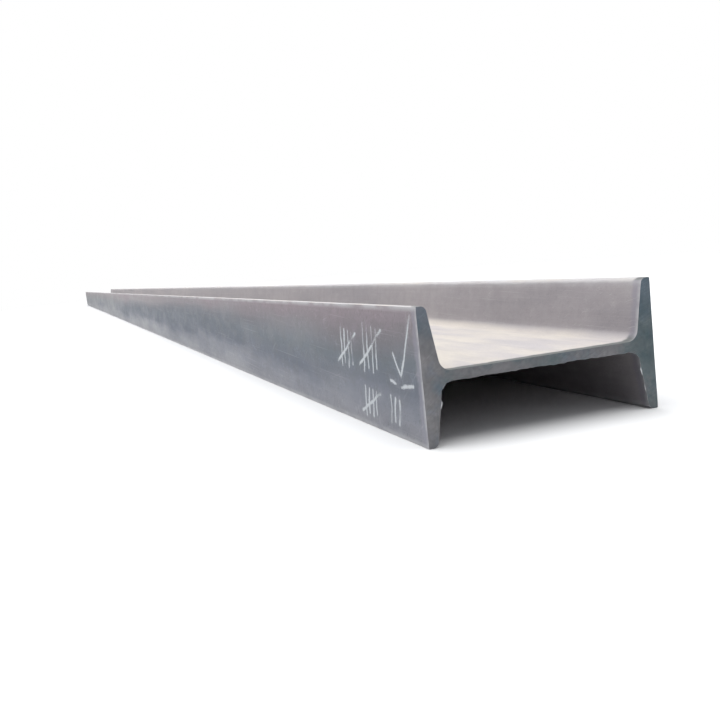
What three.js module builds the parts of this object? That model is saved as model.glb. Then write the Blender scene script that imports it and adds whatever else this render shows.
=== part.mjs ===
// Hot-rolled steel I-beam with tapered inner flange faces, one straight stock length.
// Units are millimetres. X runs across the depth of the section, Y along the beam, Z up.
// The beam lies with its web level, resting on the two lower flange toes.
import * as THREE from "three";

// ---- section -------------------------------------------------------------
const DEPTH = 180;            // overall depth, from one flange's outer face to the other's
const FLANGE_WIDTH = 94;      // width of each flange, toe to toe
const WEB_THICK = 6.5;        // web thickness
const FLANGE_THICK = 10.7;    // flange thickness, taken halfway along the overhang
const ROOT_RADIUS = 8.5;      // fillet between the web and the inner flange face
const TOE_RADIUS = 4.3;       // rounding of the inner corner of each flange toe
const CORNER_RADIUS = 0.8;    // slight rounding of the outer corner of each flange toe
const TAPER = 1 / 6;          // slope of the inner flange faces

// ---- length --------------------------------------------------------------
const LENGTH = 6000;          // stock length

// ---- fineness of the drawn arcs ------------------------------------------
const ROOT_STEPS = 10;
const TOE_STEPS = 8;
const CORNER_STEPS = 3;

// ---- derived -------------------------------------------------------------
const HALF_DEPTH = DEPTH / 2;
const HALF_WIDTH = FLANGE_WIDTH / 2;
const HALF_WEB = WEB_THICK / 2;
const MID_OVERHANG = (HALF_WIDTH + HALF_WEB) / 2;   // height above the web centre where FLANGE_THICK holds
const TAPER_ANGLE = Math.atan(TAPER);

// Distance of the sloping inner flange face from the section's centre, at the height z.
function innerFace(z) {
  const thick = FLANGE_THICK + (MID_OVERHANG - z) * TAPER;
  return HALF_DEPTH - thick;
}

// Points of an arc, both ends included.
function arc(cu, cz, radius, from, to, steps) {
  const points = [];
  for (let i = 0; i <= steps; i += 1) {
    const angle = from + ((to - from) * i) / steps;
    const u = cu + radius * Math.cos(angle);
    const z = cz + radius * Math.sin(angle);
    points.push([u, z]);
  }
  return points;
}

// Root fillet: tangent to the web's face and to the sloping inner flange face.
function rootFillet() {
  const cz = HALF_WEB + ROOT_RADIUS;
  const cu = innerFace(cz) - ROOT_RADIUS / Math.cos(TAPER_ANGLE);
  return arc(cu, cz, ROOT_RADIUS, -Math.PI / 2, -TAPER_ANGLE, ROOT_STEPS);
}

// Toe rounding: tangent to the sloping inner face and to the toe's end.
function toeRounding() {
  const cz = HALF_WIDTH - TOE_RADIUS;
  const cu = innerFace(cz) + TOE_RADIUS / Math.cos(TAPER_ANGLE);
  return arc(cu, cz, TOE_RADIUS, Math.PI - TAPER_ANGLE, Math.PI / 2, TOE_STEPS);
}

// Outer corner of the toe.
function toeCorner() {
  const cu = HALF_DEPTH - CORNER_RADIUS;
  const cz = HALF_WIDTH - CORNER_RADIUS;
  return arc(cu, cz, CORNER_RADIUS, Math.PI / 2, 0, CORNER_STEPS);
}

// One quarter of the outline, from the web's face out to the flange's outer face.
function quarterOutline() {
  return [...rootFillet(), ...toeRounding(), ...toeCorner()];
}

// The whole outline as a shape, anticlockwise from the lower right toe.
function sectionShape() {
  const quarter = quarterOutline();
  const outward = quarter;
  const inward = quarter.slice().reverse();
  const points = [
    ...outward.map(([u, z]) => new THREE.Vector2(u, -z)),
    ...inward.map(([u, z]) => new THREE.Vector2(u, z)),
    ...outward.map(([u, z]) => new THREE.Vector2(-u, z)),
    ...inward.map(([u, z]) => new THREE.Vector2(-u, -z)),
  ];
  return new THREE.Shape(points);
}

// The rolled bar: the section swept along Y, then set down on its lower flange toes.
function beamGeometry() {
  const options = { depth: LENGTH, steps: 1, bevelEnabled: false };
  const geometry = new THREE.ExtrudeGeometry(sectionShape(), options);
  geometry.rotateX(Math.PI / 2);
  geometry.translate(0, LENGTH / 2, HALF_WIDTH);
  return geometry;
}

const millScale = new THREE.MeshStandardMaterial({
  name: "mill_scale_steel",
  color: new THREE.Color(0.33, 0.335, 0.35),
  metalness: 0.7,
  roughness: 0.55,
});

const beam = new THREE.Mesh(beamGeometry(), millScale);
beam.name = "i_beam";

const part = new THREE.Group();
part.name = "steel_i_beam";
part.add(beam);

export default part;
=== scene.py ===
"""A hot-rolled steel I-beam, lying with its web level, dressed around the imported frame.

One piece of steel, so one mesh: the rolled section swept along Y with slightly uneven rolled faces, worn
toes, rounded sawn edges and a small saw burr. Two materials: mill scale on the rolled faces and sawn steel
on the ends. Lengths are in metres, +Z up, Y along the beam; the near end is at the low Y side.
"""

import math
from functools import cached_property, reduce
from typing import NamedTuple

import bmesh
import bpy
import numpy as np
from mathutils import Matrix, Vector, noise
from mathutils.geometry import delaunay_2d_cdt


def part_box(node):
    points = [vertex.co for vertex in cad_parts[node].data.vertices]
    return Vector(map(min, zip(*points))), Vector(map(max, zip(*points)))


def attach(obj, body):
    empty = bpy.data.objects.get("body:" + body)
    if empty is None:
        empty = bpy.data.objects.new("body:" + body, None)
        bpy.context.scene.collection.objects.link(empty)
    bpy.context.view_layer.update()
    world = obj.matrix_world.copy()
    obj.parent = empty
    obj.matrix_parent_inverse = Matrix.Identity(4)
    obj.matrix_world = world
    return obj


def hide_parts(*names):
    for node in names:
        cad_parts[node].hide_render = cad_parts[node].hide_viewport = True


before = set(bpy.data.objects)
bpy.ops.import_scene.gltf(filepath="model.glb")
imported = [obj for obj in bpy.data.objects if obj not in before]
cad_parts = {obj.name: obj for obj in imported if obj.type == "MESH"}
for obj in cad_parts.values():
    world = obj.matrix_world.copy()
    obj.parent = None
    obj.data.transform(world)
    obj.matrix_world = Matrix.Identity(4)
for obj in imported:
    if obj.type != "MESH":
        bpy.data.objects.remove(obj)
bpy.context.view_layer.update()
BEAM_LOW, BEAM_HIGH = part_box("i_beam")

MM = 0.001

# ---- the beam, from its box and its rolled section -------
HALF_DEPTH = (BEAM_HIGH.x - BEAM_LOW.x) / 2
HALF_WIDTH = (BEAM_HIGH.z - BEAM_LOW.z) / 2
FLANGE_WIDTH = 2 * HALF_WIDTH
MIDDLE_Z = BEAM_LOW.z + HALF_WIDTH
NEAR_Y = BEAM_LOW.y
FAR_Y = BEAM_HIGH.y
HALF_WEB = 6.5 * MM / 2
FLANGE_THICK = 10.7 * MM
ROOT_RADIUS = 8.5 * MM
TOE_RADIUS = 4.3 * MM
CORNER_RADIUS = 0.8 * MM
TAPER = 1 / 6
TAPER_ANGLE = math.atan(TAPER)

# ---- fineness --------------------------------------------
FACE_STEP = 3.5 * MM          # spacing of the points along the flat stretches of the outline
BURR_STEP = 1.8 * MM          # and along those of the lower channel, whose sawn edges carry the burr
ROOT_STEPS = 10               # straight pieces in the root fillet's arc,
TOE_STEPS = 8                 # in the toe's
CORNER_STEPS = 4              # and in the outer corner's
END_RING_STEP = 4 * MM        # spacing of the rings next to the ends
MIDDLE_RING_STEP = 34 * MM    # and in the middle of the beam
RING_GROWTH = 0.03            # how fast the spacing grows with the distance from the end
SHARP_ANGLE = math.radians(32)
FACING = 0.9                  # a face whose unit normal has this much of a direction faces that way
CAP_TOLERANCE = 1e-9          # points closer than this would be one point, where an end is filled


# ---- unevenness of the rolled surface --------------------
class Waves(NamedTuple):
    """Smooth noise on the surface: its depth, its scale along X, Y and Z, per metre, and its seed."""

    depth: float
    scale: tuple
    seed: float


ROLL_WAVE = Waves(0.30 * MM, (9, 1.6, 9), 3.1)
HAMMER = Waves(0.10 * MM, (38, 14, 38), 17.4)
TOE_WEAR = Waves(0.22 * MM, (30, 22, 30), 41.7)
TOE_LOSS = 0.4                # how far the toes are worn inwards on average, as a share of that depth
TOE_WEAR_START = 0.35         # wear where the toe's arc begins, also painted as a highlight; it is full from the arc's other end on

# ---- the sawn ends ---------------------------------------
EDGE_ROUND = 0.38 * MM        # rounding of the sawn edge
EDGE_INSET = 0.45 * MM        # how far in the end face's own ring starts
EDGE_RINGS = (                # each ring's distance from the cut, inset, share of the burr and wear, which is also painted as a highlight
    (0.0, EDGE_INSET, 0.0, 1.0),
    (0.0, EDGE_ROUND * 0.45, 1.0, 1.0),
    (EDGE_ROUND * 0.7, EDGE_ROUND * 0.12, 0.9, 1.0),
    (EDGE_ROUND * 2.2, 0.0, 0.0, 0.8),
)
EDGE_WEAR_AND_HIGHLIGHT = 0.6               # wear of the surface next to the edge, painted bright as wear and as a highlight
EDGE_WEAR_AND_HIGHLIGHT_FADE = 6 * MM       # it falls by 1 over this distance
WEB_EDGE_WEAR_AND_HIGHLIGHT = 0.3           # share of the edges' wear and painted highlight that the web's edges have
BURR_REACH = 1.7 * MM         # how far the ragged burr hangs into the lower channel
BURR_LIP = 0.3 * MM           # and how far it stands out of the end face
BURR_RAGGED = (0.55, 1.0)     # least and most of its size at one point
BURR_OVER_TOES = 6 * MM       # how far above the lower toes it ends
WEB_NORMALS = (0.25, 0.95)    # how much of a normal faces down on the flange, and on the web
FRINGE = (60.0, 0.35, 0.85)   # noise of the burr under the web: scale per metre of edge, gain and middle
FLECKS = (130.0, 2.6, 0.15)   # and of the torn bright flecks on the lower flanges' inner edges
FLECK_SIZE = 0.8              # size of a fleck, as a share of the fringe's
END_SHIFT = 7.7               # shift of the noise from one end to the other
BURR_SEED = 11

# ---- the map that an export's bake goes through ----------
BAKE_MAP = "OFBake"
MAP_EDGE = 0.006              # margins, as a share of the map
MAP_ENDS_HIGH = 0.17          # height of the two ends' places, side by side below the rolled faces
MAP_STEPS = 6001              # fineness of the sum that lays the beam's length out
MAP_SLACK = 1 * MM            # length beyond the beam that is laid out too, for the burr
NEAR_STEP = 0.85 * MM         # about how much of the beam a pixel of the map covers: by the near end,
NEAR_FINE = 180 * MM          # for this far, where the chalk is,
NEAR_GROWTH = 0.008           # then growing with the distance,
WIDEST_STEP = 9 * MM          # up to this in the middle,
FAR_STEP = 2.5 * MM           # and by the far end,
FAR_GROWTH = 0.010            # growing away from it
CHALK_SIDE_EXTRA = 0.5        # how much more of the map the left outer face gets, where the chalk is,
UNDERSIDE_LESS = 0.5          # and how much less what faces down gets

# ---- camera: where the photographer stood, turned to the beam
CAMERA_AT = Vector((-0.3063, -3.5217, 0.1288))
CAMERA_AZIMUTH = 18.6         # degrees from +Y towards +X
CAMERA_DOWN = 6.6
CAMERA_ROLL = 6.1
CAMERA_CLIP = (0.02, 500)
FOCAL_PIXELS = 880.0          # focal length, in pixels of a picture that is
PICTURE_PIXELS = 720.0        # this wide
SENSOR = 36.0                 # millimetres


# ==== section =============================================
def inner_face(height):
    """Distance of the sloping inner flange face from the section's centre, at a height over its middle."""
    middle_overhang = (HALF_WIDTH + HALF_WEB) / 2
    return HALF_DEPTH - (FLANGE_THICK + (middle_overhang - height) * TAPER)


def arc(centre, radius, start, end, steps):
    """Points of an arc, both ends included."""
    angles = np.linspace(start, end, steps + 1)
    return [(centre[0] + radius * math.cos(a), centre[1] + radius * math.sin(a)) for a in angles]


def straight(start, end, step=FACE_STEP):
    """Points between two ends, neither included, about a step apart."""
    count = max(1, round(math.dist(start, end) / step))
    shares = [i / count for i in range(1, count)]
    return [(start[0] + (end[0] - start[0]) * s, start[1] + (end[1] - start[1]) * s) for s in shares]


def quarter_outline(channel_step):
    """The outline's quarter with positive u and height, as [(u, height, wear)], from the web's middle on."""
    root_height = HALF_WEB + ROOT_RADIUS
    root_centre = (inner_face(root_height) - ROOT_RADIUS / math.cos(TAPER_ANGLE), root_height)
    root = arc(root_centre, ROOT_RADIUS, -math.pi / 2, -TAPER_ANGLE, ROOT_STEPS)
    toe_height = HALF_WIDTH - TOE_RADIUS
    toe_centre = (inner_face(toe_height) + TOE_RADIUS / math.cos(TAPER_ANGLE), toe_height)
    toe = arc(toe_centre, TOE_RADIUS, math.pi - TAPER_ANGLE, math.pi / 2, TOE_STEPS)
    corner_centre = (HALF_DEPTH - CORNER_RADIUS, HALF_WIDTH - CORNER_RADIUS)
    corner = arc(corner_centre, CORNER_RADIUS, math.pi / 2, 0, CORNER_STEPS)
    web_middle = (0.0, HALF_WEB)
    flange_middle = (HALF_DEPTH, 0.0)

    web = [web_middle] + straight(web_middle, root[0], channel_step)
    inner = root + straight(root[-1], toe[0], channel_step)
    tip = straight(toe[-1], corner[0]) + corner
    outer = straight(corner[-1], flange_middle) + [flange_middle]
    points = [(*p, 0.0) for p in web + inner]
    points += [(*p, TOE_WEAR_START + (1 - TOE_WEAR_START) * i / TOE_STEPS) for i, p in enumerate(toe)]
    points += [(*p, 1.0) for p in tip]
    return points + [(*p, 0.0) for p in outer]


def outline():
    """The whole outline, anticlockwise, as arrays: points (u, height), outward normals and wear."""
    upper = np.array(quarter_outline(FACE_STEP))
    lower = np.array(quarter_outline(BURR_STEP))
    flip_u, flip_height = np.array([-1, 1, 1]), np.array([1, -1, 1])
    loop = np.concatenate([
        upper[::-1][:-1],                     # right flange's middle up over its toe to the web's top
        (upper * flip_u)[:-1],                # the same, mirrored, down to the left flange's middle
        (lower[::-1] * flip_u * flip_height)[:-1],
        (lower * flip_height)[:-1],
    ])
    points, wear = loop[:, :2], loop[:, 2]
    along = np.roll(points, -1, axis=0) - np.roll(points, 1, axis=0)
    normals = np.stack([along[:, 1], -along[:, 0]], axis=1)
    normals /= np.linalg.norm(normals, axis=1, keepdims=True)
    return points, normals, wear


# ==== rings ===============================================
class Ring(NamedTuple):
    """A ring of the mesh: its Y and wear, which is also painted as a highlight, and the inset, shift along Y
    and shine of its points.
    """

    y: float
    wear: float
    inset: float | np.ndarray = 0.0
    shift: float | np.ndarray = 0.0
    shine: float | np.ndarray = 0.0


def clamped(value):
    return max(0.0, min(1.0, value))


def edge_share(u, height, end, scale, gain, middle):
    """Share from 0 to 1 that varies along an end's edge, from noise with this scale, gain and middle."""
    wave = noise.noise(Vector((u * scale, end * END_SHIFT, height * scale)))
    return clamped(wave * gain + middle)


def burr(points, normals, end):
    """Size and brightness, 0 to 1, of the saw burr round one end: it lines the lower channel.

    Under the web it is one low ragged fringe, and on the flanges' inner edges there are only torn flecks.
    """
    chance = np.random.default_rng(BURR_SEED + end)
    ragged = chance.uniform(*BURR_RAGGED, len(points))
    sizes, shines = np.zeros(len(points)), np.zeros(len(points))
    for i, ((u, height), (normal_u, normal_height)) in enumerate(zip(points, normals)):
        in_channel = normal_height < -FACING or normal_u * u < 0
        if height > 0 or height < -HALF_WIDTH + BURR_OVER_TOES or not in_channel:
            continue
        under_web = clamped((-normal_height - WEB_NORMALS[0]) / (WEB_NORMALS[1] - WEB_NORMALS[0]))
        fringe = edge_share(u, height, end, *FRINGE) * under_web
        fleck = edge_share(u, height, end, *FLECKS) * (1 - under_web)
        sizes[i] = ragged[i] * (fringe + fleck * FLECK_SIZE)
        shines[i] = fleck
    return sizes, shines


def sawn_edge(points, normals, end, y, inward):
    """The rings of one sawn edge, from the end face's own ring to the rolled faces."""
    size, shine = burr(points, normals, end)
    rings = []
    for from_cut, inset, burr_share, wear in EDGE_RINGS:
        has_burr = burr_share > 0
        rings.append(Ring(
            y=y + inward * from_cut,
            wear=wear,
            inset=inset - size * BURR_REACH * burr_share,
            shift=-inward * size * BURR_LIP * has_burr,
            shine=shine * has_burr,
        ))
    return rings


def ring_places():
    """Y of each ring: close together near the ends, where the surface shows best, and wider in the middle."""
    half = (FAR_Y - NEAR_Y) / 2
    distances = [0.0]
    while distances[-1] < half:
        step = min(END_RING_STEP + RING_GROWTH * distances[-1], MIDDLE_RING_STEP)
        distances.append(distances[-1] + step)
    inside = [d * half / distances[-1] for d in distances]
    return [NEAR_Y + d for d in inside] + [FAR_Y - d for d in reversed(inside[:-1])]


def beam_rings(points, normals):
    """All rings, from the near end face to the far one."""
    near_edge = sawn_edge(points, normals, 0, NEAR_Y, 1)
    far_edge = sawn_edge(points, normals, 1, FAR_Y, -1)
    between = []
    for y in ring_places()[1:-1]:
        from_end = min(y - NEAR_Y, FAR_Y - y)
        between.append(Ring(y, max(0.0, EDGE_WEAR_AND_HIGHLIGHT - from_end / EDGE_WEAR_AND_HIGHLIGHT_FADE)))
    return near_edge + between + far_edge[::-1]


def surface_noise(place, waves):
    """Smooth noise from -1 to 1 with its own scale along each axis."""
    across, along, up = waves.scale
    return noise.noise(Vector((place.x * across + waves.seed, place.y * along, place.z * up)))


def unevenness(place, wear):
    """How far the rolled surface stands off its true place."""
    wave = surface_noise(place, ROLL_WAVE) * ROLL_WAVE.depth
    hammer = surface_noise(place, HAMMER) * HAMMER.depth
    worn = (surface_noise(place, TOE_WEAR) - TOE_LOSS) * TOE_WEAR.depth * wear
    return wave + hammer + worn


def ring_points(ring, points, normals, wear):
    """Where a ring's points lie, on the uneven surface."""
    count = len(points)
    insets, shifts = np.broadcast_to(ring.inset, count), np.broadcast_to(ring.shift, count)
    placed = []
    for point, normal, worn, inset, shift in zip(points, normals, wear, insets, shifts):
        u, height = point - normal * inset
        place = Vector((u, ring.y, MIDDLE_Z + height))
        away = unevenness(place, worn)
        place.x += normal[0] * away
        place.z += normal[1] * away
        place.y += shift
        placed.append(place)
    return placed


# ==== mesh ================================================
def side_faces(count, ring_count):
    """Quads between neighbouring rings of count points each."""
    faces = []
    for first in range(0, (ring_count - 1) * count, count):
        for i in range(count):
            j = (i + 1) % count
            faces.append((first + i, first + j, first + count + j, first + count + i))
    return faces


def cap_faces(verts, first, count):
    """Triangles that fill the closed ring of count vertices from first on."""
    corners = [Vector((place.x, place.z)) for place in verts[first:first + count]]
    around = [(i, (i + 1) % count) for i in range(count)]
    filled = delaunay_2d_cdt(corners, around, [tuple(range(count))], 1, CAP_TOLERANCE)
    triangles, origins = filled[2], filled[3]
    return [tuple(first + origins[corner][0] for corner in triangle) for triangle in triangles]


def turn_faces_outwards(mesh):
    work = bmesh.new()
    work.from_mesh(mesh)
    bmesh.ops.recalc_face_normals(work, faces=work.faces)
    work.to_mesh(mesh)
    work.free()


def along_map(y):
    """Place of a Y along the bake's map, 0 to 1: the near end gets more of it than the middle."""
    grid = np.linspace(NEAR_Y - MAP_SLACK, FAR_Y + MAP_SLACK, MAP_STEPS)
    near_step = NEAR_STEP + NEAR_GROWTH * np.maximum(grid - NEAR_Y - NEAR_FINE, 0)
    far_step = FAR_STEP + FAR_GROWTH * np.maximum(FAR_Y - grid, 0)
    laid = np.cumsum(1 / np.minimum(np.minimum(near_step, far_step), WIDEST_STEP))
    return np.interp(y, grid, (laid - laid[0]) / (laid[-1] - laid[0]))


def round_map(points, normals):
    """Place of each outline point round the bake's map, 0 to 1, and the point where the map is cut open.

    The cut is in the middle of the web's underside.
    """
    cut = int(np.argmin(np.abs(points[:, 0]) + (points[:, 1] > 0)))
    opened = np.roll(points, -cut, axis=0)
    facing = np.roll(normals, -cut, axis=0)
    chalk_side = (facing[:, 0] < -FACING) * (opened[:, 0] < 0)
    share = 1 + CHALK_SIDE_EXTRA * chalk_side - UNDERSIDE_LESS * (facing[:, 1] < -FACING)
    lengths = np.linalg.norm(np.roll(opened, -1, axis=0) - opened, axis=1) * share
    return np.concatenate([[0], np.cumsum(lengths)]) / lengths.sum(), cut


def gathered(items, name, kind, width=1):
    """One property of all items of a mesh, as an array."""
    found = np.empty(len(items) * width, kind)
    items.foreach_get(name, found)
    return found.reshape(-1, width) if width > 1 else found


def add_bake_map(mesh, points, normals, at_end):
    """Lays the rolled faces out as one sheet above the ends; at_end says which faces are the ends'."""
    count = len(points)
    round_places, cut = round_map(points, normals)
    face = np.repeat(np.arange(len(mesh.polygons)), gathered(mesh.polygons, "loop_total", np.int32))
    vertex = gathered(mesh.loops, "vertex_index", np.int32)
    x, y, z = gathered(mesh.vertices, "co", np.float64, 3)[vertex].T

    step = (vertex - cut) % count
    last = (face - cut) % count == count - 1
    step[last & (step == 0)] = count          # the last quads reach the sheet's far edge, not its start
    low = MAP_ENDS_HIGH + 2 * MAP_EDGE
    side_across = MAP_EDGE + along_map(y) * (1 - 2 * MAP_EDGE)
    side_up = low + round_places[step] * (1 - MAP_EDGE - low)

    end_wide = (1 - 3 * MAP_EDGE) / 2
    end_across = MAP_EDGE + (x / HALF_DEPTH + 1) / 2 * end_wide + (y > 0) * (end_wide + MAP_EDGE)
    end_up = MAP_EDGE + (z - BEAM_LOW.z) / FLANGE_WIDTH * MAP_ENDS_HIGH

    ends, sides = np.stack([end_across, end_up], axis=1), np.stack([side_across, side_up], axis=1)
    laid = np.where(at_end[face][:, None], ends, sides)
    mesh.uv_layers.new(name=BAKE_MAP).uv.foreach_set("vector", laid.astype(np.float32).ravel())


def add_wear(mesh, rings, points, wear):
    """Stores how worn and how shiny each vertex is, for the materials; the wear is also painted as a
    highlight.
    """
    on_flange = np.abs(points[:, 0]) > HALF_DEPTH - 2 * FLANGE_THICK
    edge_share = np.where(on_flange, 1.0, WEB_EDGE_WEAR_AND_HIGHLIGHT)
    wears_and_highlights = [np.maximum(wear, ring.wear * edge_share) for ring in rings]
    shines = [np.broadcast_to(ring.shine, len(points)) for ring in rings]
    for name, values in (("edge_wear_and_highlight", wears_and_highlights), ("burr_shine", shines)):
        mesh.attributes.new(name, "FLOAT", "POINT").data.foreach_set("value", np.concatenate(values))


def rolled_beam_mesh():
    """The beam as one closed mesh, with the sharp details at its ends."""
    points, normals, wear = outline()
    rings = beam_rings(points, normals)
    count = len(points)
    verts = [place for ring in rings for place in ring_points(ring, points, normals, wear)]
    faces = side_faces(count, len(rings))
    sides = len(faces)
    for first in (0, (len(rings) - 1) * count):
        faces += cap_faces(verts, first, count)
    mesh = bpy.data.meshes.new("rolled_beam")
    mesh.from_pydata(verts, [], faces)
    turn_faces_outwards(mesh)

    index = np.arange(len(faces))
    at_end = (index < count) | (index >= sides - count)     # what fills the ends, and the quads round it
    mesh.polygons.foreach_set("material_index", at_end.astype(np.int32))
    add_bake_map(mesh, points, normals, at_end)
    add_wear(mesh, rings, points, wear)
    mesh.shade_smooth()
    mesh.set_sharp_from_angle(angle=SHARP_ANGLE)
    for polygon in mesh.polygons[sides:]:
        polygon.use_smooth = False
    return mesh


# ==== node trees ==========================================
class Pattern(NamedTuple):
    """Noise: its scale along X, Y and Z, per metre, its detail and roughness, and how far it is shifted.

    With edges, it is turned into smooth steps from one share to the other, between those two values.
    """

    scale: tuple
    detail: float = 3.0
    roughness: float = 0.55
    shift: tuple = (0, 0, 0)
    edges: tuple = ()
    shares: tuple = (0.0, 1.0)


class Scratches(NamedTuple):
    """Thin lines on the flange faces: their lean from the beam's length, their length in metres, how many
    fit in a metre, the noise between which they begin to show and are full, and how strong they are then.
    """

    lean: float
    length: float
    fineness: float
    edges: tuple
    strength: float


MIDDLE_GREY = (0.5, 0.5, 0.5)  # what coloured noise wanders about


def seen(pattern):
    """A property of a node tree: the output of a pattern's nodes, made when it is first used."""
    return cached_property(lambda nodes: nodes.noise(pattern))


class Nodes:
    """The node tree of a material or world. Its methods add nodes, from values or from nodes' outputs."""

    def __init__(self, owner):
        owner.use_nodes = True
        self.tree = owner.node_tree
        self.tree.nodes.clear()

    def add(self, kind, inputs=None, **settings):
        """A new node, with its inputs given by name or number."""
        made = self.tree.nodes.new(kind)
        for name, value in settings.items():
            setattr(made, name, value)
        for key, value in (inputs or {}).items():
            if isinstance(value, bpy.types.NodeSocket):
                self.tree.links.new(value, made.inputs[key])
            else:
                made.inputs[key].default_value = value
        return made

    @cached_property
    def place(self):
        return self.add("ShaderNodeTexCoord").outputs["Object"]

    @cached_property
    def axes(self):
        return self.split(self.place)

    def split(self, vector):
        return self.add("ShaderNodeSeparateXYZ", {0: vector}).outputs

    def attribute(self, name):
        return self.add("ShaderNodeAttribute", attribute_name=name).outputs["Fac"]

    def maths(self, operation, *values, **settings):
        return self.add("ShaderNodeMath", dict(enumerate(values)), operation=operation, **settings).outputs[0]

    def times(self, first, second):
        return self.maths("MULTIPLY", first, second)

    def plus(self, first, second):
        return self.maths("ADD", first, second)

    def larger(self, first, second):
        return self.maths("MAXIMUM", first, second)

    def absolute(self, value):
        return self.maths("ABSOLUTE", value)

    def scaled(self, value, gain, base=0.0):
        return self.maths("MULTIPLY_ADD", value, gain, base)

    def lessened(self, value, share):
        """1, less this share of a value."""
        return self.scaled(value, -share, 1.0)

    def centred(self, value, swing):
        """A value from 0 to 1, turned into one that swings this much in all, about zero."""
        return self.scaled(value, swing, -swing / 2)

    def smooth(self, value, low, high, to_low=0.0, to_high=1.0):
        """A smooth step from to_low to to_high, between the values low and high."""
        inputs = {0: value, 1: low, 2: high, 3: to_low, 4: to_high}
        return self.add("ShaderNodeMapRange", inputs, interpolation_type="SMOOTHSTEP").outputs[0]

    def on_flat(self, across, up):
        return self.add("ShaderNodeCombineXYZ", {0: across, 1: up}).outputs[0]

    def vector(self, operation, first, second=(0, 0, 0)):
        return self.add("ShaderNodeVectorMath", {0: first, 1: second}, operation=operation).outputs["Vector"]

    def vector_value(self, operation, first, second=(0, 0, 0)):
        return self.add("ShaderNodeVectorMath", {0: first, 1: second}, operation=operation).outputs["Value"]

    def stretched(self, vector, factor):
        return self.add("ShaderNodeVectorMath", {0: vector, 3: factor}, operation="SCALE").outputs["Vector"]

    def noise(self, pattern):
        mapping = self.add("ShaderNodeMapping", {0: self.place, 1: pattern.shift, 3: pattern.scale})
        inputs = {"Vector": mapping.outputs[0], "Scale": 1.0}
        inputs |= {"Detail": pattern.detail, "Roughness": pattern.roughness}
        found = self.add("ShaderNodeTexNoise", inputs).outputs[0]
        return self.smooth(found, *pattern.edges, *pattern.shares) if pattern.edges else found

    def wandering(self, scale, detail):
        """A vector that wanders from place to place, about middle grey."""
        inputs = {"Vector": self.place, "Scale": scale, "Detail": detail}
        return self.add("ShaderNodeTexNoise", inputs).outputs["Color"]

    def scratches(self, kind, place):
        """Share of thin lines, at places that may be bent."""
        scale = (1 / kind.fineness, kind.length, 1 / kind.fineness)
        inputs = {0: place, 2: (kind.lean, 0, 0), 3: scale}
        turned = self.add("ShaderNodeMapping", inputs, vector_type="TEXTURE")
        lines = self.add("ShaderNodeTexNoise", {"Vector": turned.outputs[0], "Scale": 1.0, "Detail": 1.0})
        return self.times(self.smooth(lines.outputs[0], *kind.edges), kind.strength)

    def mixed(self, share, first, second):
        """Mix of two colours."""
        inputs = {0: share, 6: first, 7: second}
        return self.add("ShaderNodeMix", inputs, data_type="RGBA").outputs[2]

    def lightened(self, colour, value):
        return self.add("ShaderNodeHueSaturation", {"Value": value, "Color": colour}).outputs[0]

    def ramp(self, value, stops):
        """Colours along a value, as [(place, (r, g, b))]."""
        made = self.add("ShaderNodeValToRGB", {0: value})
        elements = made.color_ramp.elements
        elements[0].position, elements[0].color = stops[0][0], (*stops[0][1], 1)
        elements[1].position, elements[1].color = stops[-1][0], (*stops[-1][1], 1)
        for place, colour in stops[1:-1]:
            elements.new(place).color = (*colour, 1)
        return made.outputs[0]

    def sum_of(self, gains):
        """Sum of some of its properties, given as {name: gain}."""
        total = 0.0
        for name, gain in gains.items():
            total = self.scaled(getattr(self, name), gain, total)
        return total

    def bump(self, height, strength, depth):
        inputs = {"Strength": strength, "Distance": depth, "Height": height}
        return self.add("ShaderNodeBump", inputs).outputs[0]

    def surface(self, inputs):
        """The Principled shader with these inputs, as the material's surface."""
        shader = self.add("ShaderNodeBsdfPrincipled", inputs)
        self.add("ShaderNodeOutputMaterial", {0: shader.outputs[0]})


# ==== chalk on the left flange ============================
CHALK = (0.64, 0.67, 0.70, 1)
CHALK_CORE = (0.3 * MM, 2.5 * MM, 1.0, 0.0)    # distances between which a stroke fades, and its shares there
CHALK_HAZE = (1.0 * MM, 9.0 * MM, 1.0, 0.0)    # the same for the chalk that is smeared about it
CHALK_FADING = Pattern((30, 30, 30), edges=(0.36, 0.56), shares=(0.55, 1.0))
CHALK_TRAILS = Pattern((20, 300, 20), edges=(0.36, 0.66), shares=(0.10, 0.36))
CHALK_GRAIN = Pattern((1500, 1500, 1500), detail=4, roughness=0.7)
CHALK_CATCH = (-0.34, 0.62)   # grain above this height catches chalk: gain with what is laid, and base
CHALK_CAUGHT = (0.0, 0.12)    # how far above that it has caught none, and all it can
CHALK_THINNING = 0.35         # power of what is laid, for how dense it looks
HAND_WOBBLE = 5 * MM          # how far the strokes wander off their lines,
HAND_SCALE = 55.0             # per metre
HAND_DETAIL = 2.0
LEFT_SKIN = HALF_DEPTH - 1.0 * MM              # chalk lies only beyond this far to the left

STROKE_LEAN = 0.45            # how far a stroke leans, as a share of the gap between two
STROKE_BOW = (-0.08, 0.10)    # how far the even and the odd ones bow, as a share of the gap
STROKE_FOOT = (0.0, 0.09)     # how far their feet are raised, as a share of their height
STROKE_DROP = 0.04            # how much lower each stroke's head is than the one before
CROSS_BEFORE = 1.1            # how far the stroke across them starts before the first, in gaps,
CROSS_AFTER = 1.5             # and ends after the last
CROSS_HEIGHTS = (0.10, 0.88)  # and how high up, as a share of their height


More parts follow.
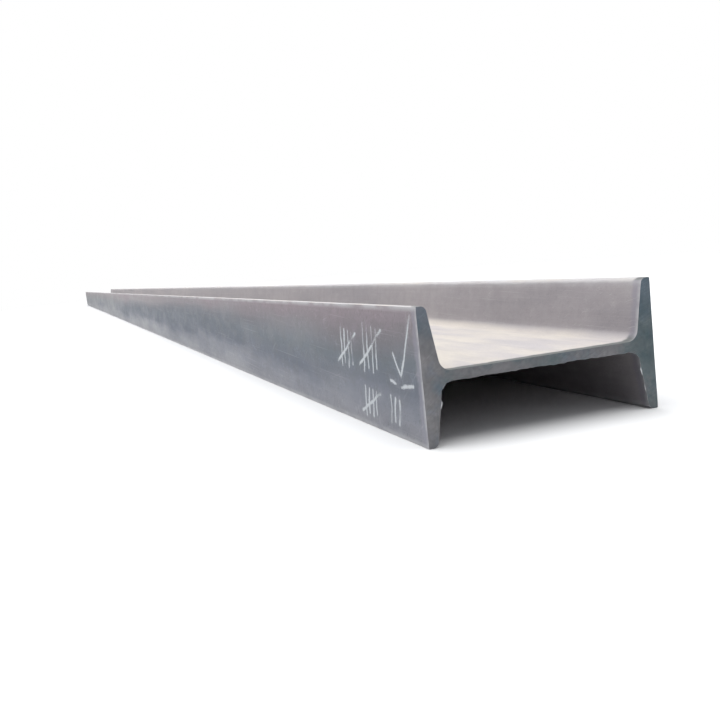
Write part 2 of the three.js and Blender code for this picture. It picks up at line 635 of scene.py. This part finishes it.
def tally(first, base, top, gap, count, crossed=True):
    """Leaning chalk strokes, with one across them, as lines of (millimetres from the end, height)."""
    strokes = []
    tall = top - base
    for i in range(count):
        foot, head = first - gap * i, first - gap * (i + STROKE_LEAN)
        low, high = base + tall * STROKE_FOOT[i % 2], top - tall * STROKE_DROP * i
        bowed = (foot + head) / 2 + gap * STROKE_BOW[i % 2]
        strokes.append([(foot, low), (bowed, base + tall / 2), (head, high)])
    if crossed:
        start, end = first + gap * CROSS_BEFORE, first - gap * (count - 1 + CROSS_AFTER)
        low, high = (base + tall * share for share in CROSS_HEIGHTS)
        strokes.append([(start, low), (end, high)])
    return strokes


TICK = [(49, 60), (37, 45), (12, 88)]
UNDERLINE = [(58, 41), (38, 38), (16, 41)]
CHALK_MARKS = (
    tally(167, 43, 74, 9, 4)
    + tally(112, 43, 80, 9.5, 4)
    + [TICK, UNDERLINE]
    + tally(118, 9, 30, 8, 4)
    + tally(64, 9, 29, 8, 3, crossed=False)
)


def line_distance(nodes, flat, start, end):
    """Distance on a flat face, given as a vector output, to the line between two points of it."""
    start, end = Vector((*start, 0)), Vector((*end, 0))
    along = end - start
    from_start = nodes.vector("SUBTRACT", flat, start)
    dot = nodes.vector_value("DOT_PRODUCT", from_start, along)
    share = nodes.maths("DIVIDE", dot, along.length_squared, use_clamp=True)
    return nodes.vector_value("DISTANCE", from_start, nodes.stretched(along, share))


def stroke_distance(nodes):
    """Distance to the nearest chalk stroke, on the flange's outer face."""
    flat = nodes.on_flat(nodes.maths("SUBTRACT", nodes.axes["Y"], NEAR_Y), nodes.axes["Z"])
    wobble = nodes.vector("SUBTRACT", nodes.wandering(HAND_SCALE, HAND_DETAIL), MIDDLE_GREY)
    flat = nodes.vector("ADD", flat, nodes.stretched(wobble, HAND_WOBBLE))
    gaps = []
    for stroke in CHALK_MARKS:
        corners = [(distance * MM, height * MM) for distance, height in stroke]
        gaps += [line_distance(nodes, flat, *ends) for ends in zip(corners, corners[1:])]
    return reduce(lambda first, second: nodes.maths("MINIMUM", first, second), gaps)


def chalk_share(nodes):
    """Share of chalk on the left flange's outer face, near its near end: tally strokes and a tick."""
    nearest = stroke_distance(nodes)
    core = nodes.times(nodes.smooth(nearest, *CHALK_CORE), nodes.noise(CHALK_FADING))
    haze = nodes.times(nodes.smooth(nearest, *CHALK_HAZE), nodes.noise(CHALK_TRAILS))
    laid = nodes.larger(core, haze)
    caught = nodes.maths("SUBTRACT", nodes.noise(CHALK_GRAIN), nodes.scaled(laid, *CHALK_CATCH))
    dense = nodes.maths("POWER", laid, CHALK_THINNING)
    chalk = nodes.times(nodes.smooth(caught, *CHALK_CAUGHT), dense)
    return nodes.times(chalk, nodes.maths("LESS_THAN", nodes.axes["X"], -LEFT_SKIN))


# ==== mill scale on the rolled faces ======================
OUTER_FACE = [                # colours up the outer flange faces, from the lower toe to the upper one; the paler stops by the lower toe are partly a painted reflection
    (0.00, (0.27, 0.27, 0.30)),
    (0.17, (0.20, 0.21, 0.245)),
    (0.37, (0.11, 0.125, 0.16)),
    (0.57, (0.115, 0.135, 0.16)),
    (0.78, (0.17, 0.16, 0.18)),
    (1.00, (0.264, 0.215, 0.238)),
]
INNER_FACE = [                # clouds on the web and the inner flange faces
    (0.25, (0.265, 0.250, 0.268)),
    (0.50, (0.330, 0.308, 0.322)),
    (0.75, (0.400, 0.375, 0.382)),
]
CREAM_DUST = (0.60, 0.555, 0.50, 1)
COOL_DUST = (0.48, 0.45, 0.455, 1)
# bare steel on worn edges, scratches and the torn burr; on the toes and by the cuts it is also a painted
# highlight
WORN_STEEL_AND_HIGHLIGHT = (0.52, 0.52, 0.535, 1)
DUST_FILM = (0.29, 0.285, 0.285, 1)
DARK_SCALE = (0.060, 0.075, 0.105, 1)
DARK_SPECK = (0.07, 0.075, 0.08, 1)
# lavender by the cuts on the rolled sides: heat tint, and a painted highlight along the sawn edge
SAW_HEAT_AND_EDGE_HIGHLIGHT = (0.27, 0.262, 0.31, 1)
SAW_STRIP = (0.085, 0.098, 0.094, 1)

OUTER_SKIN = (HALF_DEPTH - 1.4 * MM, HALF_DEPTH - 0.6 * MM)      # between these the outer faces' look sets in
UP_SHARES = (0.2, 0.95)       # how much of a normal faces up where dust begins to lie, and where it is full
LEVEL_DRIFT = 0.5             # how much the bands rise and fall along the beam, as a share of the flange
LEVEL_CLOUD = 0.3             # and with the clouds

# Stretches along the beam, in metres from its near end, and the shares before and after them.
FILM_SOON = (0.3, 2.0, 0.0, 0.34)              # a film of dust hides the outer bands first,
FILM_LATE = (1.4, 3.6, 0.0, 0.42)              # then all of them
DARK_START = (0.25, 0.8, 0.0, 1.0)             # and in between the middle band is darker
DARK_END = (2.0, 3.2, 1.0, 0.0)

FILM_MIDDLE = 0.5             # level that the film leaves free at first,
FILM_BANDS = (0.08, 0.34)     # and how far from it the film begins and is full
DARK_MIDDLE = 0.56            # level of the darker band,
DARK_BANDS = (0.10, 0.30, 1.0, 0.0)            # how far from it it fades, and its shares there
DARK_SHARE = 0.55

INNER_DAMAGE = 0.3            # shares of the scale's damage and of its grain that show on the inner faces
INNER_GRAIN = 0.5
RUBS = Scratches(lean=0.03, length=0.16, fineness=1100, edges=(0.66, 0.76), strength=0.22)
DRAGS = Scratches(lean=-0.45, length=0.2, fineness=1100, edges=(0.70, 0.78), strength=0.24)
DRAG_BEND = 45 * MM           # how far the drags' lines wander,
DRAG_SCALE = 7.0              # per metre
DRAG_DETAIL = 1.0

CUT_STRIP = (11 * MM, 6 * MM)                  # distances from the cut where its strip begins and is full
CUT_RAGGED = 7 * MM           # how much they wander
CUT_HEAT_AND_HIGHLIGHT = 0.6                # share of the heat's colour by the cut, a lavender band that is heat tint and also a painted highlight on the rolled sides,
STRIP_HEAT = 0.3              # and what is added on top of the web
CUT_DUST_LOSS = 0.95          # share of the dust that is missing by the cut,
STRIP_WEAR_LOSS = 0.7         # and of the wear that is missing on top of the web there
CREAM_SIDE = -0.9             # the dust is creamier towards low X, per metre
CREAM_EDGES = (0.34, 0.56)    # values of the clouds, so shifted, between which it turns cream
POWDER_VALUE = (0.34, 0.84)   # gain and base of the dust's value
SPECK_SHARE = 0.45            # how much of its colour a dark speck covers,
WEAR_AND_HIGHLIGHT_SHARE = 0.75             # and a worn edge, whose brightness is partly a painted highlight
TORN_EDGES = (0.15, 0.6)      # shine of the torn burr between which the bare steel shows

SCALE_VALUE = {               # gain and base of each feature's factor of the colour's value
    "mottle": (0.20, 0.95),
    "flake": (-0.13, 1.0),
    "spall": (0.15, 1.0),
    "pitted": (-0.18, 1.0),
    "grain": (0.44, 1.01),
    "streak": (0.12, 0.94),
    "wiped": (0.16, 0.92),
}
SCALE_RELIEF = {"grain": 0.5, "pitted": -1.0, "flake": 0.8, "spall": -1.0, "scratched": -1.5, "streak": 1.2}
DUST_SOFTENS = 0.6            # share of the relief that full dust hides
POWDER_HEIGHT = 1.2
SCALE_METAL = 0.4
SCALE_ROUGH = (0.3, 0.7, 0.48, 0.60)           # two values of the clouds, and the roughness they give
FLAKE_ROUGH = -0.06           # what flakes and what is dull add to it
DULL_ROUGH = 0.32
SCALE_SPECULAR = 0.3
SCALE_DEPTH = 0.2 * MM        # depth of the relief
BUMP_STRENGTH = 0.5


class RolledFaces(Nodes):
    """What is seen on the rolled faces: each property is the output of nodes that are made once."""

    drift = seen(Pattern((5, 0.8, 5), detail=2, shift=(0, 1.7, 0)))                # the bands' rise and fall
    cloud = seen(Pattern((22, 4.5, 22), detail=4, shift=(7, 3, 1)))
    streak = seen(Pattern((300, 1.8, 300)))                                        # drawn along the beam
    mottle = seen(Pattern((120, 80, 120)))
    wiped = seen(Pattern((14, 55, 14), shift=(2, 9, 5)))                           # across the beam
    film = seen(Pattern((6, 2, 6), shift=(1, 6, 8), edges=(0.3, 0.6), shares=(0.35, 1.0)))
    flakes = seen(Pattern((46, 26, 46), detail=7, roughness=0.62, shift=(3, 3, 3), edges=(0.495, 0.53)))
    spalls = seen(Pattern((150, 85, 150), detail=6, roughness=0.68, shift=(8, 2, 6), edges=(0.595, 0.62)))
    pits = seen(Pattern((420, 300, 420), detail=2, edges=(0.28, 0.42), shares=(1.0, 0.0)))
    grains = seen(Pattern((900, 650, 900), detail=4, roughness=0.65))
    dusty = seen(Pattern((14, 6, 14), detail=4, edges=(0.28, 0.62), shares=(0.66, 1.0)))
    dusty_spots = seen(Pattern(
        (85, 12, 85), detail=6, roughness=0.66, shift=(5, 5, 9), edges=(0.34, 0.50), shares=(0.74, 0.97)))
    powder = seen(Pattern((650, 650, 650), detail=4, roughness=0.7))               # the dust's own grain
    speck = seen(Pattern((95, 60, 95), detail=4, roughness=0.7, edges=(0.70, 0.76)))
    rubbed = seen(Pattern((140, 30, 140), edges=(0.34, 0.6), shares=(0.35, 1.0)))  # how evenly edges are worn
    chalk = cached_property(chalk_share)

    @cached_property
    def outside(self):
        """1 on the flanges' outer faces."""
        return self.smooth(self.absolute(self.axes["X"]), *OUTER_SKIN)

    @cached_property
    def facing_up(self):
        normal = self.add("ShaderNodeNewGeometry").outputs["Normal"]
        return self.smooth(self.split(normal)["Z"], *UP_SHARES)

    @cached_property
    def level(self):
        """Height on the flange that decides the band of colour, as a share of its width."""
        height = self.maths("DIVIDE", self.axes["Z"], FLANGE_WIDTH)
        drifted = self.plus(self.centred(self.drift, LEVEL_DRIFT), height)
        return self.plus(drifted, self.centred(self.cloud, LEVEL_CLOUD))

    def off_level(self, middle):
        return self.absolute(self.maths("SUBTRACT", self.level, middle))

    def along(self, start, end, before, after):
        """A share that changes along a stretch of the beam, given in metres from its near end."""
        return self.smooth(self.axes["Y"], NEAR_Y + start, NEAR_Y + end, before, after)

    def outer_colour(self):
        """Bands up the outer faces, paler by the lower toe partly as a painted reflection, under a film of
        dust further along and darker on the way there.
        """
        outer_bands = self.smooth(self.off_level(FILM_MIDDLE), *FILM_BANDS)
        further = self.larger(self.times(self.along(*FILM_SOON), outer_bands), self.along(*FILM_LATE))
        colour = self.mixed(self.times(self.film, further), self.ramp(self.level, OUTER_FACE), DUST_FILM)
        dark = self.times(self.along(*DARK_START), self.along(*DARK_END))
        dark = self.times(dark, self.smooth(self.off_level(DARK_MIDDLE), *DARK_BANDS))
        return self.mixed(self.times(dark, DARK_SHARE), colour, DARK_SCALE)

    def less_inside(self, share):
        """1 on the outer faces, and this share elsewhere."""
        return self.scaled(self.outside, 1 - share, share)

    @cached_property
    def exposed(self):
        """How much of the damage shows."""
        return self.less_inside(INNER_DAMAGE)

    @cached_property
    def flake(self):
        """Patches that have lost their outer scale."""
        return self.times(self.flakes, self.exposed)

    @cached_property
    def spall(self):
        """Small patches that have lost it down to the steel."""
        return self.times(self.spalls, self.exposed)

    @cached_property
    def pitted(self):
        return self.times(self.pits, self.exposed)

    @cached_property
    def grain(self):
        """Fine grain, about zero."""
        return self.times(self.centred(self.grains, 1.0), self.less_inside(INNER_GRAIN))

    @cached_property
    def scratched(self):
        """Rubs along the beam, and bent lines where it was dragged."""
        bend = self.stretched(self.wandering(DRAG_SCALE, DRAG_DETAIL), DRAG_BEND)
        drags = self.scratches(DRAGS, self.vector("ADD", self.place, bend))
        return self.larger(self.scratches(RUBS, self.place), drags)

    @cached_property
    def by_cut(self):
        """1 on the ragged strips by the sawn ends."""
        from_middle = self.plus(self.absolute(self.axes["Y"]), self.centred(self.mottle, CUT_RAGGED))
        return self.smooth(from_middle, FAR_Y - CUT_STRIP[0], FAR_Y - CUT_STRIP[1])

    @cached_property
    def strip(self):
        """1 on the bare dark strips by the cuts, on what faces up."""
        return self.times(self.by_cut, self.facing_up)

    @cached_property
    def dust(self):
        """Share of the dust that lies on what faces up."""
        lying = self.times(self.times(self.facing_up, self.dusty), self.dusty_spots)
        return self.times(lying, self.lessened(self.by_cut, CUT_DUST_LOSS))

    @cached_property
    def dull(self):
        """Where the steel is covered or burnt, so that it doesn't shine."""
        return self.larger(self.larger(self.dust, self.chalk), self.strip)

    def dust_colour(self):
        creamy = self.smooth(self.scaled(self.axes["X"], CREAM_SIDE, self.cloud), *CREAM_EDGES)
        colour = self.mixed(creamy, COOL_DUST, CREAM_DUST)
        return self.lightened(colour, self.scaled(self.powder, *POWDER_VALUE))

    def bright(self):
        """Share of bare steel: on worn edges, whose brightness is partly a painted highlight, on the torn
        burr and in scratches.
        """
        # wear on the toes and edges, painted as bare steel and partly as a highlight
        worn = self.times(self.times(self.attribute("edge_wear_and_highlight"), self.rubbed), WEAR_AND_HIGHLIGHT_SHARE)
        worn = self.times(worn, self.lessened(self.strip, STRIP_WEAR_LOSS))
        torn = self.smooth(self.attribute("burr_shine"), *TORN_EDGES)
        return self.larger(self.larger(worn, torn), self.scratched)

    def colour(self):
        """The colour of the scale, and over it what the saw, the weather and the hands left, with painted
        highlights by the cuts and on the worn edges.
        """
        colour = self.mixed(self.outside, self.ramp(self.cloud, INNER_FACE), self.outer_colour())
        factors = [self.scaled(getattr(self, name), *factor) for name, factor in SCALE_VALUE.items()]
        colour = self.lightened(colour, reduce(self.times, factors))
        # by the cut: heat tint that is also a painted highlight on the sides, and a dark strip on what faces
        # up
        heat_highlight_and_strip = self.scaled(self.strip, STRIP_HEAT, self.times(self.by_cut, CUT_HEAT_AND_HIGHLIGHT))
        layers = (
            (heat_highlight_and_strip, self.mixed(self.facing_up, SAW_HEAT_AND_EDGE_HIGHLIGHT, SAW_STRIP)),
            (self.dust, self.dust_colour()),
            (self.times(self.speck, SPECK_SHARE), DARK_SPECK),
            (self.bright(), WORN_STEEL_AND_HIGHLIGHT),
            (self.chalk, CHALK),
        )
        for share, layer in layers:
            colour = self.mixed(share, colour, layer)
        return colour

    def roughness(self):
        flaked = self.scaled(self.flake, FLAKE_ROUGH, self.smooth(self.cloud, *SCALE_ROUGH))
        return self.scaled(self.dull, DULL_ROUGH, flaked)

    def relief(self):
        """Height of the fine damage, softened by the dust and with the dust's own powder."""
        relief = self.times(self.sum_of(SCALE_RELIEF), self.lessened(self.dust, DUST_SOFTENS))
        return self.scaled(self.times(self.powder, self.dust), POWDER_HEIGHT, relief)


def mill_scale():
    """Blue-grey rolling scale: cloudy, streaked along the beam, dusty on top, worn bright on the toes, where
    the bright line is partly a painted highlight.
    """
    material = bpy.data.materials.new("mill_scale")
    faces = RolledFaces(material)
    faces.surface({
        "Base Color": faces.colour(),
        "Metallic": faces.scaled(faces.dull, -SCALE_METAL, SCALE_METAL),
        "Roughness": faces.roughness(),
        "Specular IOR Level": SCALE_SPECULAR,
        "Normal": faces.bump(faces.relief(), BUMP_STRENGTH, SCALE_DEPTH),
    })
    return material


# ==== sawn steel on the ends ==============================
END_CLOUD = [                 # clouds on the sawn steel
    (0.26, (0.062, 0.090, 0.102)),
    (0.44, (0.112, 0.138, 0.148)),
    (0.56, (0.164, 0.164, 0.174)),
    (0.74, (0.240, 0.236, 0.244)),
]
TORN_STEEL = (0.62, 0.64, 0.66, 1)
HEAT_TINT = (0.115, 0.153, 0.208, 1)

SAW_CENTRE = (0.31, -0.52)    # where the saw's disc turned, in X and Z
SAW_PITCH = 1.3 * MM          # spacing of the saw marks
SAW_WANDER = 2.6              # how far they wander, in marks
TEETH_SCALE = 2.3             # unevenness from tooth to tooth, per mark
TEETH_DETAIL = 4.0
TEETH_EDGES = (0.34, 0.66)    # the noise between which a mark deepens
TEETH_MARKS = (0.56, 0.22)    # gain and base of the marks that the teeth leave,
EVEN_MARKS = 0.22             # and the height of the even wave under them
PALE_UP = (-0.03, 0.02)       # gain and base of how much paler the clouds are, up the end,
PAINTED_SIDE_SHADE = -0.11             # and painted shade at its right edge, which is darker; the left edge is painted as much paler
HEAT_SHARE = 0.4
HEAT_HEIGHTS = (62 * MM, 90 * MM, 0.0, 0.45)   # two heights on the end, and how blue the heat left it there
MARK_VALUE = (0.42, 0.85)     # gain and base of the value that the marks give,
GRIT_VALUE = (0.6, 0.70)      # and the grit
END_ROUGH = (0.3, 0.7, 0.40, 0.55)             # two values of the clouds, and the roughness they give
END_METAL = 0.5
END_SPECULAR = 0.35
END_RELIEF = {"marks": 1.4, "grain": 0.5, "grit": 0.6}
END_DEPTH = 0.15 * MM         # depth of the relief


class SawnFace(Nodes):
    """What is seen on the ends: each property is the output of nodes that are made once."""

    wander = seen(Pattern((60, 60, 60), detail=2))
    fade = seen(Pattern((45, 45, 45), shift=(4, 4, 4), edges=(0.32, 0.62), shares=(0.3, 1.0)))
    cloud = seen(Pattern((30, 30, 30), detail=5, roughness=0.66))
    grit = seen(Pattern((420, 420, 420)))
    heat = seen(Pattern((34, 34, 34), shift=(6, 1, 2), edges=(0.50, 0.66)))
    grain = seen(Pattern((900, 900, 900)))

    @cached_property
    def marks(self):
        """Arcs of the saw's teeth, about its disc's centre, that come and go."""
        reach = self.vector_value("DISTANCE", self.on_flat(self.axes["X"], self.axes["Z"]), (*SAW_CENTRE, 0))
        turns = self.scaled(self.wander, SAW_WANDER, self.maths("DIVIDE", reach, SAW_PITCH))
        inputs = {"W": turns, "Scale": TEETH_SCALE, "Detail": TEETH_DETAIL}
        teeth = self.add("ShaderNodeTexNoise", inputs, noise_dimensions="1D").outputs[0]
        teeth = self.scaled(self.smooth(teeth, *TEETH_EDGES), *TEETH_MARKS)
        even = self.maths("SINE", self.times(turns, 2 * math.pi))
        return self.times(self.scaled(even, EVEN_MARKS, teeth), self.fade)

    def colour(self):
        side = self.maths("DIVIDE", self.axes["X"], HALF_DEPTH)
        up = self.maths("DIVIDE", self.axes["Z"], FLANGE_WIDTH)
        # painted shade: darker towards the end's right edge and paler towards its left, with a slight change
        # up the end
        paler = self.scaled(self.times(side, self.absolute(side)), PAINTED_SIDE_SHADE, self.scaled(up, *PALE_UP))
        colour = self.ramp(self.plus(self.cloud, paler), END_CLOUD)
        heat = self.larger(self.times(self.heat, HEAT_SHARE), self.smooth(self.axes["Z"], *HEAT_HEIGHTS))
        colour = self.mixed(heat, colour, HEAT_TINT)
        colour = self.mixed(self.smooth(self.attribute("burr_shine"), *TORN_EDGES), colour, TORN_STEEL)
        value = self.times(self.scaled(self.marks, *MARK_VALUE), self.scaled(self.grit, *GRIT_VALUE))
        return self.lightened(colour, value)


def sawn_end():
    """Hot-sawn steel: dark blue-green grey, with painted shade that darkens the right and pales the left, and
    fine arcs from the saw's teeth.
    """
    material = bpy.data.materials.new("sawn_end")
    face = SawnFace(material)
    face.surface({
        "Base Color": face.colour(),
        "Metallic": END_METAL,
        "Roughness": face.smooth(face.cloud, *END_ROUGH),
        "Specular IOR Level": END_SPECULAR,
        "Normal": face.bump(face.sum_of(END_RELIEF), BUMP_STRENGTH, END_DEPTH),
    })
    return material


# ==== the piece ===========================================
def show(name, data):
    """A new object in the scene."""
    made = bpy.data.objects.new(name, data)
    bpy.context.scene.collection.objects.link(made)
    return made


def make_beam():
    beam = show("rolled_beam", rolled_beam_mesh())
    beam.data.materials.append(mill_scale())
    beam.data.materials.append(sawn_end())
    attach(beam, "root")
    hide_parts("i_beam")


# ==== stage, light and camera =============================
WHITE = (1, 1, 1, 1)
SKY = (0.93, 0.96, 1.0, 1)
SKY_STRENGTH = 0.42
FLOOR_HALF = 60.0
FLOOR_FADE = (0.5, 2.2)       # distances from the beam between which the floor turns into plain white
FLOOR_SEEN = (0.90, 0.90, 0.90, 1)
FLOOR_BOUNCE = (0.42, 0.42, 0.42, 1)


def background_rays(nodes):
    """1 for rays from the camera, a mirror or glass, 0 for light bouncing about."""
    rays = nodes.add("ShaderNodeLightPath").outputs
    direct = nodes.larger(rays["Is Camera Ray"], rays["Is Glossy Ray"])
    return nodes.larger(direct, rays["Is Transmission Ray"])


def floor_material():
    """Pale and matt by the beam, and plain white further away."""
    material = bpy.data.materials.new("studio_floor")
    nodes = Nodes(material)
    background = background_rays(nodes)
    matt = nodes.add("ShaderNodeBsdfDiffuse", {"Color": nodes.mixed(background, FLOOR_BOUNCE, FLOOR_SEEN)})
    white = nodes.add("ShaderNodeEmission", {"Color": WHITE, "Strength": 1.0})
    beyond = nodes.vector("SUBTRACT", nodes.vector("ABSOLUTE", nodes.place), (HALF_DEPTH, FAR_Y, 0))
    away = nodes.vector_value("LENGTH", nodes.vector("MAXIMUM", beyond))
    fade = nodes.times(nodes.smooth(away, *FLOOR_FADE), background)
    blend = nodes.add("ShaderNodeMixShader", {0: fade, 1: matt.outputs[0], 2: white.outputs[0]})
    nodes.add("ShaderNodeOutputMaterial", {0: blend.outputs[0]})
    return material


def make_floor():
    mesh = bpy.data.meshes.new("studio_floor")
    corners = [(-1, -1), (1, -1), (1, 1), (-1, 1)]
    mesh.from_pydata([(FLOOR_HALF * x, FLOOR_HALF * y, 0) for x, y in corners], [], [(0, 1, 2, 3)])
    mesh.materials.append(floor_material())
    show("studio_floor", mesh)


def make_world():
    world = bpy.data.worlds.new("studio")
    bpy.context.scene.world = world
    nodes = Nodes(world)
    soft = nodes.add("ShaderNodeBackground", {"Color": SKY, "Strength": SKY_STRENGTH}).outputs[0]
    white = nodes.add("ShaderNodeBackground", {"Color": WHITE, "Strength": 1.0}).outputs[0]
    blend = nodes.add("ShaderNodeMixShader", {0: background_rays(nodes), 1: soft, 2: white})
    nodes.add("ShaderNodeOutputWorld", {0: blend.outputs[0]})


def make_softbox(name, at, towards, size, power):
    light = bpy.data.lights.new(name, "AREA")
    light.shape = "RECTANGLE"
    light.size, light.size_y = size
    light.energy = power
    lamp = show(name, light)
    lamp.location = at
    lamp.rotation_euler = (Vector(towards) - Vector(at)).to_track_quat("-Z", "Y").to_euler()


def make_camera():
    azimuth, down, roll = map(math.radians, (CAMERA_AZIMUTH, CAMERA_DOWN, CAMERA_ROLL))
    level = math.cos(down)
    forward = Vector((math.sin(azimuth) * level, math.cos(azimuth) * level, -math.sin(down)))
    level_right = forward.cross(Vector((0, 0, 1))).normalized()
    right = Matrix.Rotation(roll, 3, forward) @ level_right
    up = right.cross(forward)
    camera_data = bpy.data.cameras.new("photo_camera")
    camera_data.sensor_width = SENSOR
    camera_data.lens = FOCAL_PIXELS / PICTURE_PIXELS * SENSOR
    camera_data.clip_start, camera_data.clip_end = CAMERA_CLIP
    camera = show("photo_camera", camera_data)
    camera.matrix_world = Matrix((right, up, -forward)).transposed().to_4x4()
    camera.location = CAMERA_AT
    bpy.context.scene.camera = camera


make_beam()
make_floor()
make_world()
make_softbox("overhead_softbox", at=(0.0, 0.0, 4.5), towards=(0.0, 0.0, 0.0), size=(5.0, 12.0), power=450.0)
make_softbox("left_softbox", at=(-5.0, -1.0, 2.2), towards=(0.0, -0.5, 0.0), size=(3.0, 9.0), power=150.0)
make_camera()
bpy.context.scene.view_settings.view_transform = "Standard"
